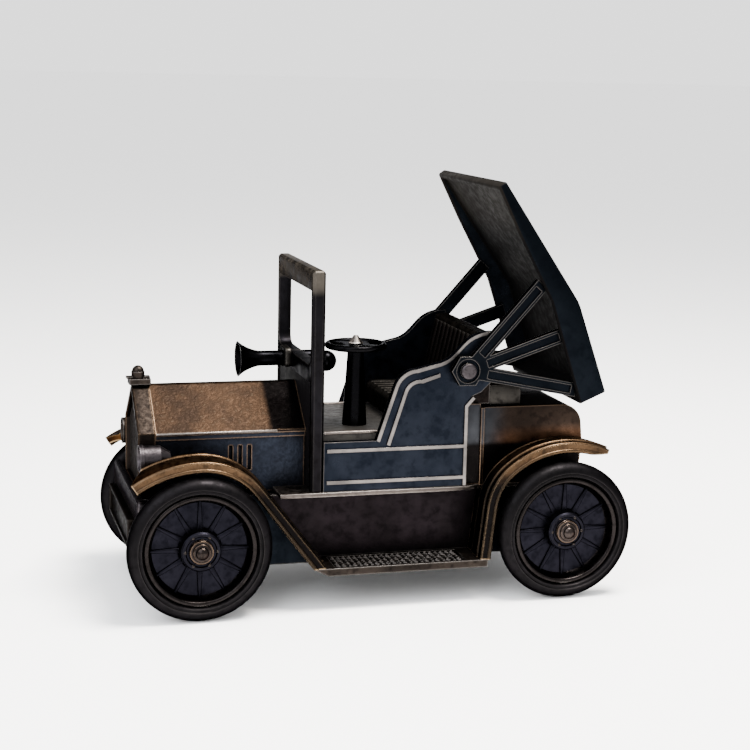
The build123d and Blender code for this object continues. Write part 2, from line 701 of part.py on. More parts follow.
with BuildPart() as steering_cap:
    with Locations((steering_x, steering_y, wheel_plane_z + 0.4)):
        Cone(1.2, 0.35, 1.2, align=on_top)
    add(steering_column.part, mode=Mode.SUBTRACT)
steering_cap.part.label = "steering_cap"
export_step(steering_cap.part, "parts/steering_cap.step")

# ---------------------------------------------------------------- horn
horn_mouth_x = -20.0
horn_axis = Axis((0, horn_y, horn_z), (1, 0, 0))
horn_plane = Plane(origin=(0, horn_y, horn_z), x_dir=(1, 0, 0), z_dir=(0, -1, 0))
horn_end = -6.9
with BuildPart() as horn_bell:
    with BuildSketch(horn_plane):
        with BuildLine():
            lip = Line((horn_mouth_x, 2.6), (horn_mouth_x, 2.9))
            flare = Spline(lip @ 1, (-18.4, 1.85), (-16.0, 1.25), tangents=((1, -1.0), (1, 0)))
            Polyline(flare @ 1, (horn_end, 1.25), (horn_end, 0), (-17.0, 0), (-17.4, 0.8))
            Spline((-17.4, 0.8), (-18.7, 1.4), lip @ 0)
        make_face()
    revolve(axis=horn_axis)
horn_bell.part.label = "horn_bell"
export_step(horn_bell.part, "parts/horn_bell.step")

bulb_radius = 1.75
bulb_drop = 0.7
with BuildPart() as horn_bulb:
    with Locations((horn_end + bulb_radius, horn_y, horn_z - bulb_drop)):
        Sphere(bulb_radius)
    with Locations(Location((horn_end, horn_y, horn_z), (0, 90, 0))):
        Cylinder(3, 4, align=(Align.CENTER, Align.CENTER, Align.MAX), mode=Mode.SUBTRACT)
    with Locations(Location((horn_end, horn_y, horn_z), (0, 90, 0))):
        Cylinder(0.95, 1.0, align=on_top)
horn_bulb.part.label = "horn_bulb"
export_step(horn_bulb.part, "parts/horn_bulb.step")

with BuildPart() as horn_bracket:
    with Locations((post_front, horn_y, 35.6)):
        Box(1.0, 4.4, 3.2, align=(Align.MAX, Align.CENTER, Align.MIN))
    fillet(horn_bracket.edges().filter_by(Axis.X), 0.8)
    with Locations(Location((post_front, horn_y, horn_z), (0, 90, 0))):
        Cylinder(1.25, 10, mode=Mode.SUBTRACT)
horn_bracket.part.label = "horn_bracket"
export_step(horn_bracket.part, "parts/horn_bracket.step")

# ---------------------------------------------------------------- roof and its brackets
roof_front = (18.4, 67.2)
roof_bend = (31.6, 47.9)
roof_rear = (36.8, 33.3)

with BuildPart() as roof_shell:
    with BuildSketch(left_plane(-roof_half_width)):
        with BuildLine():
            Polyline(roof_front, roof_bend, roof_rear, (32.4, 31.4), (26.8, 48.2), (21.0, 58.8),
                     (17.2, 66.4), close=True)
        make_face()
    extrude(amount=2 * roof_half_width)
    ridge_edges = roof_shell.edges().filter_by(Axis.Y)
    fillet(ridge_edges.sort_by_distance((roof_bend[0], 0, roof_bend[1]))[0], 7.0)
    tray_mouth = [roof_shell.faces().sort_by_distance(spot)[0]
                  for spot in ((19.1, 0, 62.6), (23.9, 0, 53.5), (29.6, 0, 39.8))]
    offset(amount=-roof_sheet, openings=tray_mouth)
roof_shell.part.label = "roof_shell"
export_step(roof_shell.part, "parts/roof_shell.step")

arm_width = 2.2
channel_depth = 0.3
channel_rim = 0.45
hub_recess_radius = 1.9
arm_ends = [(25.6, 50.9), (29.6, 42.7), (32.0, 33.6)]
with BuildPart() as roof_bracket:
    with BuildSketch(left_plane(bracket_inner_y)):
        with Locations((pivot_x, pivot_z)):
            RegularPolygon(2.7, 6)
        for end_x, end_z in arm_ends:
            with BuildLine():
                Polyline((pivot_x, pivot_z), (end_x, end_z))
            trace(line_width=arm_width)
        with Locations((pivot_x, pivot_z)):
            Circle(rivet_radius + running_clearance, mode=Mode.SUBTRACT)
    extrude(amount=bracket_outer_y - bracket_inner_y)
    with BuildSketch(left_plane(bracket_outer_y - channel_depth)):
        with Locations((pivot_x, pivot_z)):
            Circle(hub_recess_radius)
            Circle(rivet_radius + 0.5, mode=Mode.SUBTRACT)
        for end_x, end_z in arm_ends:
            arm = Vector(end_x - pivot_x, end_z - pivot_z).normalized()
            with BuildLine():
                Line((pivot_x + 3.4 * arm.X, pivot_z + 3.4 * arm.Y), (end_x - 1.0 * arm.X, end_z - 1.0 * arm.Y))
            trace(line_width=arm_width - 2 * channel_rim)
    extrude(amount=channel_depth, mode=Mode.SUBTRACT)
both_sides(roof_bracket.part, "roof_bracket")
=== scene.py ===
# %% [markdown]
# # An antique runabout in patinated cast metal
# This lesson dresses a finished mechanical model, the frame, as the little cast car that it is:
# spoked wheels, ribbed fenders, a peaked hood, a swept seat body and a roof that tips on rivets.
# The frame already holds every size and every joint, so nothing is measured again here.
# Each piece is either a frame solid with a better finish, or a new mesh that stands for one.

# %% Load the frame
import json
import math
import bpy
from mathutils import Matrix, Vector


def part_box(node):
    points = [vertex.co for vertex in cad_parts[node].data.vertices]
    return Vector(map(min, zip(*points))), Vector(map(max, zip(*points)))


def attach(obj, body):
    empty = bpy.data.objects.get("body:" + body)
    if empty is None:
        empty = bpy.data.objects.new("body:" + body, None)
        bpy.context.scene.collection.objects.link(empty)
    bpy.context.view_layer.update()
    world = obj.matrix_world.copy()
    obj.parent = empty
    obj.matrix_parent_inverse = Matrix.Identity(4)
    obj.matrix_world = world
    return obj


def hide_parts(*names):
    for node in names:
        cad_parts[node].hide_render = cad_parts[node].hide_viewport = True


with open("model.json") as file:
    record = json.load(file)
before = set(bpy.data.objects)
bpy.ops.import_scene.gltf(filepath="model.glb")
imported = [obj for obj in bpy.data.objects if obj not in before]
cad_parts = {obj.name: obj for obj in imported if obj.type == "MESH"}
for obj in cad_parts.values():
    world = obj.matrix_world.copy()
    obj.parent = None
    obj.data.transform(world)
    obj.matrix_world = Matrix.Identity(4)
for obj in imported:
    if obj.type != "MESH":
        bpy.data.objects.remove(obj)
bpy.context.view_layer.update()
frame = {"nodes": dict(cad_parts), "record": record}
MM = 0.001
node_body = {n: body for body, ns in frame["record"]["behaviour"]["bodies"].items() for n in ns}

# %% [markdown]
# ## Camera, floor and light
# The car is seen from its front left corner, a little above the hood, with a long lens, so the
# wheels stay nearly round. The camera is placed by its own axes: two rotations aim it and a small
# third one levels the horizon. A pale floor and two large soft lamps give a metal object
# something to reflect: metal shows the room, not its own colour alone.

# %% Camera
camera_data = bpy.data.cameras.new("camera")
camera_data.sensor_width = 36.0
camera_data.lens = 79.16
camera = bpy.data.objects.new("camera", camera_data)
camera_place = Vector((-70.785, -257.737, 83.241)) * MM
camera_yaw, camera_down, camera_roll = (math.radians(a) for a in (15.829, 10.36, 1.279))
camera.matrix_world = (Matrix.Translation(camera_place) @ Matrix.Rotation(-camera_yaw, 4, "Z")
                       @ Matrix.Rotation(math.pi / 2 - camera_down, 4, "X")
                       @ Matrix.Rotation(camera_roll, 4, "Z"))
camera_data.clip_start = 0.01
bpy.context.scene.collection.objects.link(camera)
bpy.context.scene.camera = camera
print("camera", [round(c / MM, 1) for c in camera.location])


# %% A helper for simple node trees
def new_material(name):
    """Return an empty material, its nodes, its links and its Principled shader."""
    material = bpy.data.materials.new(name)
    material.use_nodes = True
    nodes = material.node_tree.nodes
    return material, nodes, material.node_tree.links, nodes["Principled BSDF"]


# %% Floor and room
bpy.ops.object.select_all(action="DESELECT")
bpy.ops.mesh.primitive_plane_add(size=60.0, location=(0, 0, 0))
floor = bpy.context.object
floor.name = "floor"
floor_finish, _, _, floor_shader = new_material("pale_floor")
floor_shader.inputs["Base Color"].default_value = (0.95, 0.95, 0.95, 1)
floor_shader.inputs["Roughness"].default_value = 0.9
floor_shader.inputs["Specular IOR Level"].default_value = 0.1
floor.data.materials.append(floor_finish)
room_light = 2.0
room = bpy.data.worlds.new("room")
bpy.context.scene.world = room
room.use_nodes = True
room.node_tree.nodes["Background"].inputs["Color"].default_value = (1, 1, 1, 1)
room.node_tree.nodes["Background"].inputs["Strength"].default_value = room_light
print("floor and room made")


# %% Lamps
def soft_lamp(name, place, target, size, power, colour):
    """Hang a square area lamp at a place, aimed at a target, all in millimetres."""
    lamp = bpy.data.lights.new(name, "AREA")
    lamp.size = size * MM
    lamp.energy = power
    lamp.color = colour
    holder = bpy.data.objects.new(name, lamp)
    holder.location = Vector(place) * MM
    aim = (Vector(target) - Vector(place)).to_track_quat("-Z", "Y")
    holder.rotation_euler = aim.to_euler()
    bpy.context.scene.collection.objects.link(holder)


soft_lamp("key_lamp", (75, -50, 330), (0, 0, 20), 130, 6.0, (1.0, 0.96, 0.90))
soft_lamp("sky_lamp", (-200, -160, 260), (0, 0, 20), 300, 2.0, (0.93, 0.96, 1.0))

# %% [markdown]
# ## The antique finish
# The real finish is plated copper that was blackened and then rubbed: it stays dark in the
# hollows, and shines where a hand or cloth touches it, on edges and crests. Two ambient occlusion
# nodes tell those places apart. One looks outwards and darkens the hollows; the other looks into
# the metal and finds the sharp edges. A Bevel node rounds the light on edges as casting does, and
# fine noise makes the grain of a cast surface. Some pieces also change colour from one end to the
# other: a zone is a soft step along one axis. Several zones are painted light and shade: the
# windshield's shadow across the hood, dark fender legs, a dark rear deck under the fender, bright
# bead tops, a glint at the bottom of each rim and a lighter band high in the roof's lining.


# %% Cast metal with a rubbed patina
grazing_tint = (0.18, 0.18, 0.19)  # a blackened surface stays dark even when seen edge-on


def cast_metal(name, rubbed, body, dark, mottle=0.5, speck=1500.0, gloss=0.38, wear=0.6,
               grain=0.25, edge=0.25, hollow=1.2, zones=(), fleck=None, fleck_start=0.5,
               metallic=1.0, ior=1.5):
    """Antique metal: rubbed on edges, body colour on flats, dark in hollows (sizes in mm).

    A zone is (axis, start, end, colour): its colour fades in from start to end along the axis.
    """
    material, nodes, links, shader = new_material(name)

    def node(kind, **settings):
        made = nodes.new(kind)
        for key, value in settings.items():
            setattr(made, key, value)
        return made

    def mix(factor, first, second):
        made = node("ShaderNodeMix", data_type="RGBA")
        sockets = made.inputs[0], made.inputs[6], made.inputs[7]
        for socket, value in zip(sockets, (factor, first, second)):
            if isinstance(value, tuple):
                socket.default_value = (*value, 1.0)
            else:
                links.new(value, socket)
        return made.outputs[2]

    def ramp(value, low, high, start=0.0, end=1.0):
        made = node("ShaderNodeMapRange", interpolation_type="SMOOTHSTEP")
        links.new(value, made.inputs[0])
        for socket, number in zip(made.inputs[1:5], (low, high, start, end)):
            socket.default_value = number
        return made.outputs[0]

    def product(first, second):
        made = node("ShaderNodeMath", operation="MULTIPLY")
        links.new(first, made.inputs[0])
        links.new(second, made.inputs[1])
        return made.outputs[0]

    def noise(scale, detail, roughness=0.6):
        made = node("ShaderNodeTexNoise")
        links.new(place.outputs["Object"], made.inputs["Vector"])
        made.inputs["Scale"].default_value = scale
        made.inputs["Detail"].default_value = detail
        made.inputs["Roughness"].default_value = roughness
        return made.outputs["Fac"]

    place = node("ShaderNodeTexCoord")
    apart = node("ShaderNodeSeparateXYZ")
    links.new(place.outputs["Object"], apart.inputs[0])
    clouds = noise(140.0, 4.0)
    specks = noise(speck, 3.0, 0.7)
    inner = node("ShaderNodeAmbientOcclusion", inside=True, only_local=True, samples=6)
    inner.inputs["Distance"].default_value = edge * MM
    outer = node("ShaderNodeAmbientOcclusion", only_local=True, samples=6)
    outer.inputs["Distance"].default_value = hollow * MM
    worn_patches = ramp(clouds, 0.28, 0.55, 1 - wear, 1.0)
    edge_wear = product(ramp(inner.outputs["AO"], 0.98, 0.45), worn_patches)
    hollow_dark = ramp(outer.outputs["AO"], 0.95, 0.35)
    blotches = ramp(clouds, 0.38, 0.64, 0.0, mottle)
    flecks = ramp(specks, fleck_start, fleck_start + 0.18, 0.0, mottle)
    colour = mix(flecks, body, fleck or dark)
    for axis, start, end, zone_colour in zones:
        colour = mix(ramp(apart.outputs[axis], start * MM, end * MM), colour, zone_colour)
    colour = mix(blotches, colour, dark)
    colour = mix(edge_wear, colour, rubbed)
    colour = mix(hollow_dark, colour, dark)
    links.new(colour, shader.inputs["Base Color"])
    links.new(ramp(specks, 0.3, 0.7, gloss - 0.08, gloss + 0.14), shader.inputs["Roughness"])
    rounded = node("ShaderNodeBevel", samples=4)
    rounded.inputs["Radius"].default_value = 0.5 * edge * MM
    bump = node("ShaderNodeBump")
    bump.inputs["Strength"].default_value = grain
    bump.inputs["Distance"].default_value = 0.08 * MM
    links.new(specks, bump.inputs["Height"])
    links.new(rounded.outputs[0], bump.inputs["Normal"])
    links.new(bump.outputs[0], shader.inputs["Normal"])
    shader.inputs["Metallic"].default_value = metallic
    shader.inputs["IOR"].default_value = ior
    shader.inputs["Specular Tint"].default_value = (*grazing_tint, 1.0)
    return material


# %% Colours of the plating, from rubbed bright to black, with painted highlights among them
black = (0.0022, 0.0019, 0.0019)
umber = (0.0055, 0.0042, 0.0040)
navy = (0.0100, 0.0120, 0.0175)
worn_copper = (0.13, 0.085, 0.055)
worn_gold = (0.20, 0.14, 0.085)
worn_grey = (0.055, 0.050, 0.047)
# This bright silver is rubbed wear on edges, and also the painted glint at the bottom of the rims.
worn_silver_and_glint = (0.30, 0.27, 0.25)
# A bright silver for the side panels' bead tops: rubbed wear, and a painted highlight where
# overhead light catches them.
bead_wear_and_highlight = (0.125, 0.113, 0.107)
print("rubbed copper", worn_copper, "against black", black)

# %% The car's finishes
finish_settings = {
    "hood_copper": dict(
        rubbed=worn_copper, body=(0.0100, 0.0060, 0.0038), dark=black,
        mottle=0.55, speck=1500, gloss=0.40, grain=0.9, wear=0.3, fleck=(0.045, 0.031, 0.021),
        fleck_start=0.55,
        # Painted shadow: the hood turns near-black behind x -17.5 to -16.4 mm, the windshield's
        # cast shadow on its rear.
        zones=[("X", -17.5, -16.4, (0.0006, 0.0005, 0.0005)), ("Z", 27.45, 26.9, navy)]),
    "radiator_copper": dict(
        rubbed=worn_copper, body=(0.0056, 0.0043, 0.0035), dark=black,
        mottle=0.5, speck=1300, gloss=0.38, grain=0.6, wear=0.3,
        zones=[("Z", 27.3, 25.0, (0.0085, 0.0065, 0.0055))]),
    "copper": dict(
        rubbed=worn_gold, body=(0.044, 0.0255, 0.0135), dark=black,
        mottle=0.5, speck=900, gloss=0.30, grain=0.35, wear=0.3,
        # Painted shade: the fenders fade to black from 22.8 mm down to 18.5 mm, the steep legs
        # darkened as the shade under the crest.
        zones=[("Z", 22.8, 18.5, black)]),
    "umber": dict(
        rubbed=worn_grey, body=(0.016, 0.0125, 0.0105), dark=black,
        mottle=0.6, speck=800, gloss=0.4, grain=0.35, wear=0.3),
    "trunk_copper": dict(
        rubbed=worn_copper, body=(0.019, 0.013, 0.010), dark=black,
        mottle=0.5, speck=600, gloss=0.34, grain=0.35, wear=0.2,
        zones=[("Z", 28.0, 25.4, (0.045, 0.022, 0.012)),
               ("X", 22.0, 17.5, (0.021, 0.022, 0.025)),
               # Painted shade: below 25.2 mm the rear deck turns black, the shade under the rear
               # fender's lip.
               ("Z", 25.2, 24.4, black)]),
    "valance": dict(
        rubbed=worn_grey, body=(0.0060, 0.0046, 0.0054), dark=black,
        mottle=0.4, speck=500, gloss=0.40, grain=0.3, wear=0.1),
    # A bright finish for the sills and rolled beads: rubbed wear, and a painted highlight where
    # light from above runs along them.
    "sill": dict(
        rubbed=worn_silver_and_glint, body=(0.06, 0.05, 0.045), dark=black,
        mottle=0.3, speck=900, gloss=0.34),
    "post_black": dict(
        rubbed=worn_grey, body=(0.0045, 0.0042, 0.0050), dark=black,
        mottle=0.4, speck=600, gloss=0.38, grain=0.3, wear=0.3,
        zones=[("Z", 49.0, 51.0, (0.070, 0.061, 0.051))]),
    # The dash is black, and is also made reflection-free (not metallic, IOR 1.05) as painted shade
    # on its face.
    "dash_black": dict(
        rubbed=umber, body=(0.0022, 0.0020, 0.0022), dark=black,
        mottle=0.3, speck=600, gloss=0.6, grain=0.3, wear=0.1, metallic=0.0, ior=1.05),
    "blue_black": dict(
        rubbed=worn_grey, body=(0.0023, 0.0030, 0.0041), dark=(0.0014, 0.0018, 0.0026),
        mottle=0.5, speck=420, gloss=0.34, grain=0.3, edge=0.18, wear=0.25),
    "panel": dict(
        rubbed=worn_grey, body=(0.0066, 0.0080, 0.0115), dark=(0.0022, 0.003, 0.005),
        mottle=0.55, speck=420, gloss=0.34, grain=0.3, edge=0.16, wear=0.25,
        # The outermost faces, the bead tops beyond 12.86 to 12.98 mm, take the bright bead colour:
        # wear and a painted highlight.
        zones=[("Y", -12.86, -12.98, bead_wear_and_highlight), ("Y", 12.86, 12.98, bead_wear_and_highlight)]),
    "grey_bronze": dict(
        rubbed=worn_grey, body=(0.017, 0.0155, 0.0140), dark=black,
        mottle=0.5, speck=900, gloss=0.42, grain=0.4, wear=0.3),
    "floor_grey": dict(
        rubbed=worn_silver_and_glint, body=(0.024, 0.022, 0.020), dark=black,
        mottle=0.5, speck=900, gloss=0.42, grain=0.4, wear=0.3, metallic=0.6),
    "plate_brown": dict(
        rubbed=worn_grey, body=(0.0065, 0.0052, 0.0043), dark=black,
        mottle=0.5, speck=900, gloss=0.5, grain=0.4, wear=0.3),
    "seat_brown": dict(
        rubbed=worn_grey, body=(0.0052, 0.0040, 0.0036), dark=black,
        mottle=0.5, speck=900, gloss=0.42, grain=0.4, wear=0.3,
        zones=[("Z", 41.2, 42.2, (0.014, 0.012, 0.010))]),
    # The lining is black, and is made reflection-free (not metallic, IOR 1.05) as painted shade
    # under the roof.
    "lining_black": dict(
        rubbed=umber, body=(0.0016, 0.0016, 0.0017), dark=black,
        mottle=0.4, speck=700, gloss=0.6, grain=0.3, wear=0.1, metallic=0.0, ior=1.05,
        # Painted reflection: the lining grows lighter from 56 mm up to 62 mm, a warm reflection
        # painted inside the roof.
        zones=[("Z", 56.0, 62.0, (0.0055, 0.0048, 0.0041))]),
    "gloss_black": dict(
        rubbed=(0.02, 0.02, 0.02), body=(0.0022, 0.0022, 0.0026), dark=black,
        mottle=0.3, speck=600, gloss=0.22, grain=0.12, wear=0.3),
    "cap_silver": dict(
        rubbed=worn_silver_and_glint, body=(0.12, 0.105, 0.095), dark=black,
        mottle=0.3, speck=1200, gloss=0.24, grain=0.3),
    "web_navy": dict(
        rubbed=(0.022, 0.020, 0.022), body=(0.0052, 0.0050, 0.0072), dark=(0.002, 0.002, 0.003),
        mottle=0.5, speck=700, gloss=0.38, grain=0.35, edge=0.15, wear=0.3, hollow=0.8),
    "rim_bronze": dict(
        rubbed=(0.05, 0.042, 0.038), body=(0.0085, 0.0072, 0.0072), dark=black,
        mottle=0.5, speck=700, gloss=0.24, grain=0.3, wear=0.2,
        # Painted glint: the rim turns bright silver below 2.85 mm, a reflection of light painted
        # on the lower lip of each wheel.
        zones=[("Z", 2.85, 2.4, worn_silver_and_glint)]),
    "hub_bronze": dict(
        rubbed=worn_copper, body=(0.020, 0.016, 0.015), dark=black,
        mottle=0.5, speck=1300, gloss=0.24, grain=0.5, wear=0.3),
    "rivet_silver": dict(
        rubbed=(0.07, 0.062, 0.066), body=(0.032, 0.028, 0.030), dark=black,
        mottle=0.4, speck=1500, gloss=0.36, grain=0.6),
    "tyre_black": dict(
        rubbed=(0.022, 0.020, 0.020), body=(0.0052, 0.0047, 0.0052), dark=(0.0025, 0.0025, 0.0025),
        mottle=0.4, speck=900, gloss=0.42, grain=0.35, wear=0.3),
}
finishes = {name: cast_metal(name, **settings) for name, settings in finish_settings.items()}
print(len(finishes), "finishes")

# %% [markdown]
# ## Giving each solid its finish
# The first part of a node's name says what it is, so one table of names gives every solid its
# finish. The longest key that fits wins, which lets the right headlight take a darker finish than
# the left: the same lamp, painted darker as shade.

# %% Finishes by name
finish_of = {
    "hood": "hood_copper", "radiator_shell": "radiator_copper", "radiator_core": "umber",
    # The right headlight's duller umber is painted shade; the two lamps are alike.
    "radiator_cap": "umber", "headlight": "rivet_silver", "headlight_right": "umber",
    "front_fender": "copper", "rear_fender": "copper", "running_board": "umber",
    "splash_apron": "valance",
    "floor_pan": "sill", "front_apron": "rivet_silver", "number_plate": "plate_brown",
    "dash_board": "dash_black", "windshield_frame": "post_black", "side_panel": "panel",
    "cab_tub": "floor_grey", "seat_cushion": "grey_bronze", "seat_back": "seat_brown",
    "rear_deck": "trunk_copper", "luggage_box": "grey_bronze", "steering": "gloss_black",
    "steering_cap": "cap_silver",
    "horn": "gloss_black", "horn_bracket": "grey_bronze", "roof": "blue_black",
    "pivot_rivet": "rivet_silver", "chassis_frame": "blue_black", "base": "blue_black",
    "front_axle": "web_navy", "rear_axle": "web_navy", "wheel": "web_navy", "tyre": "tyre_black",
    "hub_cap": "hub_bronze",
}


def finish_for(name):
    """Return the finish whose key is the longest start of the node's name."""
    keys = [key for key in finish_of if name.startswith(key)]
    return finishes[finish_of[max(keys, key=len)]]


for name, solid in frame["nodes"].items():
    solid.data.materials.clear()
    solid.data.materials.append(finish_for(name))
print("every solid has a finish")

# %% [markdown]
# ## Softening the cast solids
# A frame solid has knife-sharp edges, and no casting has. Its triangles are also loose, so each
# solid that shows flat faces is copied, its doubles are merged, its flat triangles are joined into
# faces and every sharp edge gets a small bevel. The copy then stands for the solid.


# %% A softened copy
def pick(piece):
    """Select one piece and nothing else, so that the next operator acts on it alone."""
    bpy.ops.object.select_all(action="DESELECT")
    piece.select_set(True)
    bpy.context.view_layer.objects.active = piece


def place_in_mesh(piece):
    """Put a piece's place, turn and size into its mesh."""
    pick(piece)
    bpy.ops.object.transform_apply(location=True, rotation=True, scale=True)


def dress(piece, finish, *nodes):
    """Give a piece its finish and let it stand for its frame solids and move with them."""
    piece.data.materials.clear()
    piece.data.materials.append(finish)
    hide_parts(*nodes)
    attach(piece, node_body[nodes[0]])


def merged_copy(node):
    """Copy a frame solid as one closed mesh with whole flat faces, and leave it in edit mode."""
    piece = bpy.data.objects.new("cast_" + node, frame["nodes"][node].data.copy())
    bpy.context.scene.collection.objects.link(piece)
    pick(piece)
    bpy.ops.object.mode_set(mode="EDIT")
    bpy.ops.mesh.select_all(action="SELECT")
    bpy.ops.mesh.customdata_custom_splitnormals_clear()
    bpy.ops.mesh.remove_doubles(threshold=0.002 * MM)
    bpy.ops.mesh.dissolve_limited(angle_limit=math.radians(0.5))
    return piece


def soften(piece, radius):
    """Leave edit mode and round the sharp edges of a piece by a radius in millimetres."""
    bpy.ops.object.mode_set(mode="OBJECT")
    rounding = piece.modifiers.new("rounding", "BEVEL")
    rounding.width = radius * MM
    rounding.segments = 2
    rounding.limit_method = "ANGLE"
    rounding.angle_limit = math.radians(35)
    bpy.ops.object.modifier_apply(modifier=rounding.name)
    bpy.ops.object.shade_smooth_by_angle(angle=math.radians(40))
    return piece


soft_radius = {"windshield_frame": 0.25, "luggage_box": 0.3, "seat_cushion": 0.4,
               "front_apron": 0.1, "number_plate": 0.12, "dash_board": 0.15,
               "horn_bracket": 0.15, "radiator_shell": 0.12, "roof_shell": 0.3,
               "rear_deck": 0.2, "cab_tub": 0.15, "floor_pan": 0.12}
for node, radius in soft_radius.items():
    dress(soften(merged_copy(node), radius), finish_for(node), node)
print(len(soft_radius), "solids softened")

# %% [markdown]
# ## The roof's lining
# The roof is a folded plate, black inside. It is one casting, so the lining isn't a piece of its
# own:
# the faces that look forward, into the car, take a second finish instead. That finish is made
# reflection-free as painted shade under the roof, and carries a painted reflection high up.
# a piece of its own: the faces that look forward, into the car, take a second finish instead.

# %% The roof's dark lining, with painted shade and a painted reflection
roof = bpy.data.objects["cast_roof_shell"]
roof.data.materials.append(finishes["lining_black"])
for face in roof.data.polygons:
    if face.normal.x < -0.3:
        face.material_index = 1
print("lining faces", sum(face.material_index for face in roof.data.polygons))

# %% [markdown]
# ## Rolled beads, pleats and tread
# The hood's eaves and the cab floor end in a thin rolled edge, rubbed bright and painted with a
# highlight where light from above runs along it. The seat is pleated, and the running boards carry
# a knurled tread. Each repeated shape is modelled once and laid out in a row with an Array
# modifier, which is then applied.


# %% A rolled bead along the car
quarter = math.pi / 2


def rolled_bead(name, start, end, radius, finish):
    """Lay a thin bead with rounded ends between two points (mm) that differ only in x."""
    bpy.ops.object.select_all(action="DESELECT")
    middle = (Vector(start) + Vector(end)) / 2 * MM
    length = abs(end[0] - start[0]) * MM
    bpy.ops.mesh.primitive_cylinder_add(vertices=16, radius=radius * MM, depth=length,
                                        location=middle, rotation=(0, quarter, 0))
    bead = bpy.context.object
    bead.name = name
    place_in_mesh(bead)
    soft = bead.modifiers.new("soft", "BEVEL")
    soft.width = 0.45 * radius * MM
    soft.segments = 2
    bpy.ops.object.modifier_apply(modifier=soft.name)
    bpy.ops.object.shade_smooth_by_angle(angle=math.radians(40))
    bead.data.materials.append(finish)
    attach(bead, "car")


# %% Beads of the hood and the cab floor
hood_low, hood_high = (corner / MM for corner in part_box("hood"))
tub_low, tub_high = (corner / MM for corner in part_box("cab_tub"))
eave_height = 27.32
eave_bead_radius = 0.24
eave_bead_inset = 0.1
eave_bead_end = hood_high.x - 4.6
floor_bead_radius = 0.3
floor_bead_inset = 0.15
floor_bead_height = tub_high.z - 0.1
floor_bead_start = tub_low.x + 1.2
floor_bead_end = tub_low.x + 11.0
for side, name in ((-1, "left"), (1, "right")):
    eave_y = side * (hood_high.y - eave_bead_inset)
    rolled_bead(f"eave_bead_{name}", (hood_low.x + eave_bead_inset, eave_y, eave_height),
                (eave_bead_end, eave_y, eave_height), eave_bead_radius, finishes["sill"])
    floor_y = side * (tub_high.y - floor_bead_inset)
    rolled_bead(f"floor_bead_{name}", (floor_bead_start, floor_y, floor_bead_height),
                (floor_bead_end, floor_y, floor_bead_height), floor_bead_radius, finishes["sill"])
print("four rolled beads")


# %% Repeating a shape in a row
def in_row(piece, step, count):
    """Repeat a piece with an applied Array modifier, step in millimetres."""
    pick(piece)
    row = piece.modifiers.new("row", "ARRAY")
    row.use_relative_offset = False
    row.use_constant_offset = True
    row.constant_offset_displace = Vector(step) * MM
    row.count = count
    bpy.ops.object.modifier_apply(modifier=row.name)


# %% Pleats of the seat
pleat_radius = 0.92
pleat_flatness = 0.5
pleat_rounding = 0.35
pleat_count = 11
pleat_span = 20.0
pleat_step = pleat_span / (pleat_count - 1)


def pleats(name, place, turn, length, finish):
    """Model one stuffed pleat, flattened and bevelled, and repeat it across the seat."""
    bpy.ops.object.select_all(action="DESELECT")
    bpy.ops.mesh.primitive_cylinder_add(vertices=20, radius=pleat_radius * MM, depth=length * MM,
                                        location=Vector(place) * MM, rotation=turn)
    pleat = bpy.context.object
    pleat.name = name
    pleat.scale = (pleat_flatness, 1.0, 1.0)
    place_in_mesh(pleat)
    soft = pleat.modifiers.new("soft", "BEVEL")
    soft.width = pleat_rounding * MM
    soft.segments = 3
    bpy.ops.object.modifier_apply(modifier=soft.name)
    in_row(pleat, (0, pleat_step, 0), pleat_count)
    bpy.ops.object.shade_smooth_by_angle(angle=math.radians(45))
    pleat.data.materials.append(finish)
    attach(pleat, "car")


back_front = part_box("seat_back")[0].x / MM
back_middle_height = 37.3
back_pleat_length = 9.4
back_lean = math.radians(12.2)
pleats("back_pleats", (back_front + 1.35, -pleat_span / 2, back_middle_height), (0, back_lean, 0),
       back_pleat_length, finishes["seat_brown"])
cushion_low, cushion_high = (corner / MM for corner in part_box("seat_cushion"))
cushion_middle = (cushion_low.x + cushion_high.x) / 2
pleats("cushion_pleats", (cushion_middle - 0.2, -pleat_span / 2, cushion_high.z - 0.3),
       (0, quarter, 0), cushion_high.x - cushion_low.x - 1.6, finishes["grey_bronze"])
print("seat pleated,", pleat_count, "pleats", round(pleat_step, 2), "mm apart")

# %% Knurled tread
board_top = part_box("running_board_left")[1].z / MM
stud_base, stud_tip, stud_height, stud_sink = 0.42, 0.12, 0.4, 0.12
stud_columns, column_step = 23, 0.91
stud_rows, row_step = 6, 0.96
first_column = -7.4
for name, first_row in (("left", -16.2), ("right", 11.4)):
    bpy.ops.object.select_all(action="DESELECT")
    first_place = Vector((first_column, first_row, board_top - stud_sink)) * MM
    bpy.ops.mesh.primitive_cone_add(vertices=4, radius1=stud_base * MM, radius2=stud_tip * MM,
                                    depth=stud_height * MM, location=first_place)
    stud = bpy.context.object
    stud.name = f"tread_{name}"
    place_in_mesh(stud)
    in_row(stud, (column_step, 0, 0), stud_columns)
    in_row(stud, (0, row_step, 0), stud_rows)
    stud.data.materials.append(finishes["umber"])
    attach(stud, "car")
print(stud_columns * stud_rows, "studs on each board")

# %% [markdown]
# ## Wheels turned like a lathe would
# The tyre is one casting with the wheel: a round tread, a ring line on the sidewall, a rolled rim
# lip, and a web sunk well below it. A turned shape is drawn as a ring that is extruded and scaled
# from point to point of its outline, then laid on its side at the axle. A lathe or Screw modifier
# could do the same, but a list of heights and radii is easier to read. One wheel is modelled, and
# the other three are copies with a mesh of their own.


